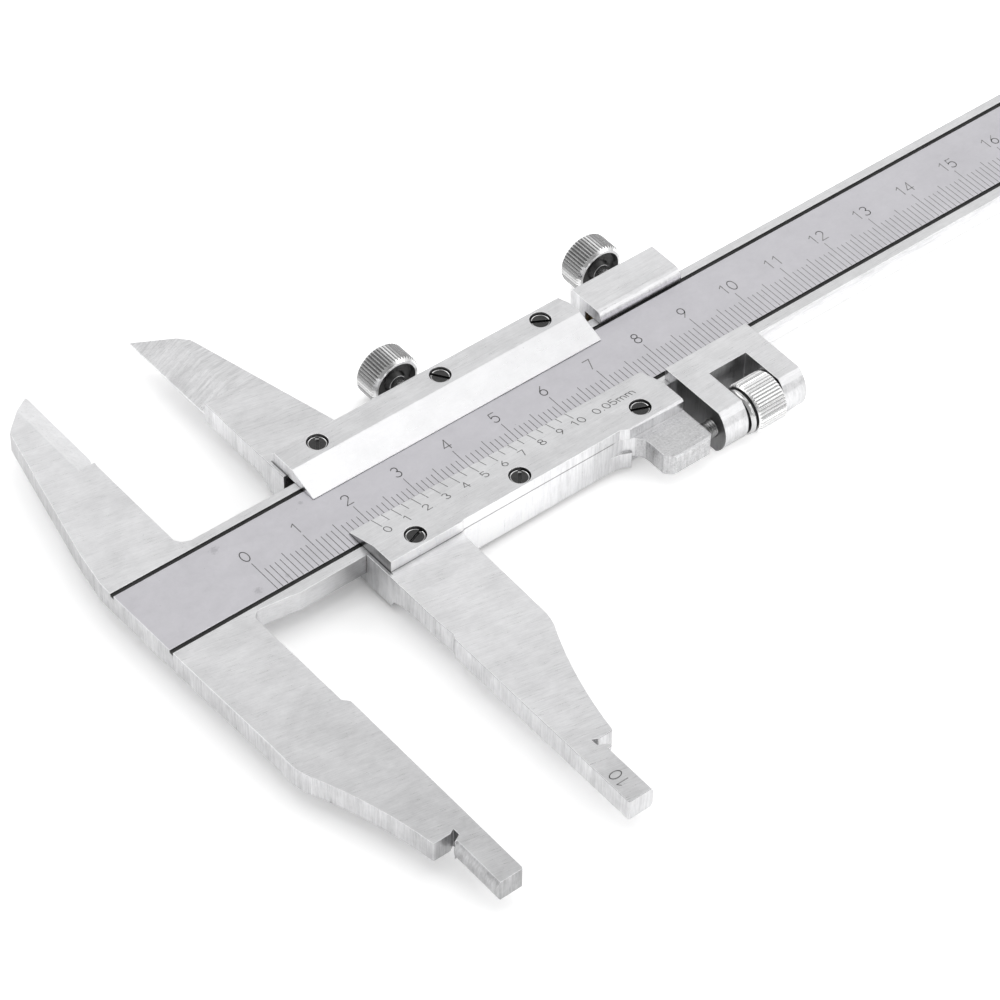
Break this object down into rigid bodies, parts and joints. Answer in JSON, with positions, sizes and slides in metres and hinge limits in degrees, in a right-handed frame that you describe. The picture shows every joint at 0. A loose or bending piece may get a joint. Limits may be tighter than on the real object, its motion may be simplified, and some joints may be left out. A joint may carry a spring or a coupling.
{
  "type": "vernier caliper",
  "caption": "Vernier caliper with long nib jaws, knife-edge upper jaws, a screwed vernier plate and a fine-adjustment carriage.",
  "frame": {"origin": "middle of the bottom of the bounding box, below the beam, with the caliper lying on its back", "axes": "+X along the beam from the jaws to the free end, +Y across the beam towards the knife-edge jaws, +Z out of the graduated face"},
  "size_m": [0.366, 0.128, 0.0098],
  "materials": {
    "jaw_steel": "satin chrome over fine-ground steel",
    "satin_chrome": "satin chrome",
    "bright_chrome": "bright chrome, knurled",
    "nickel": "dull nickel, knurled",
    "dark_screw": "oiled dark steel",
    "rod_steel": "cut thread, oiled",
    "gib_bronze": "plain strip"
  },
  "bodies": {
    "beam": {"beam": "jaw_steel"},
    "slider": {"slider_frame": "jaw_steel", "vernier_plate": "satin_chrome", "cover_strip": "satin_chrome", "vernier_screw_1": "dark_screw", "vernier_screw_2": "dark_screw", "vernier_screw_3": "dark_screw", "cover_screw_1": "dark_screw", "cover_screw_2": "dark_screw", "cover_screw_3": "dark_screw", "slider_gib": "gib_bronze", "adjust_rod": "rod_steel", "rod_pin": "rod_steel"},
    "slider_lock": {"slider_lock_screw": "nickel"},
    "carriage": {"carriage": "satin_chrome", "carriage_gib": "gib_bronze"},
    "carriage_lock": {"carriage_lock_screw": "nickel"},
    "nut": {"adjust_nut": "bright_chrome"}
  },
  "joints": [
    {"name": "slider_slide", "type": "slide", "parent": "beam", "child": "slider", "axis": [1, 0, 0], "range_m": [-0.0202, 0.2298]},
    {"name": "fine_adjust", "type": "slide", "parent": "slider", "child": "carriage", "axis": [1, 0, 0], "range_m": [-0.002, 0.002]},
    {"name": "nut_turn", "type": "hinge", "parent": "carriage", "child": "nut", "pos_m": [-0.0756, -0.0105, 0.0053], "axis": [1, 0, 0], "range_deg": [-1450, 1450]},
    {"name": "slider_lock_turn", "type": "hinge", "parent": "slider", "child": "slider_lock", "pos_m": [-0.1179, 0.03, 0.00485], "axis": [0, 1, 0], "range_deg": [-180, 180]},
    {"name": "carriage_lock_turn", "type": "hinge", "parent": "carriage", "child": "carriage_lock", "pos_m": [-0.07455, 0.03, 0.00485], "axis": [0, 1, 0], "range_deg": [-180, 180]}
  ],
  "couplings": [
    {"joint": "nut_turn", "follows": "fine_adjust", "rad_per_m": 12566}
  ]
}
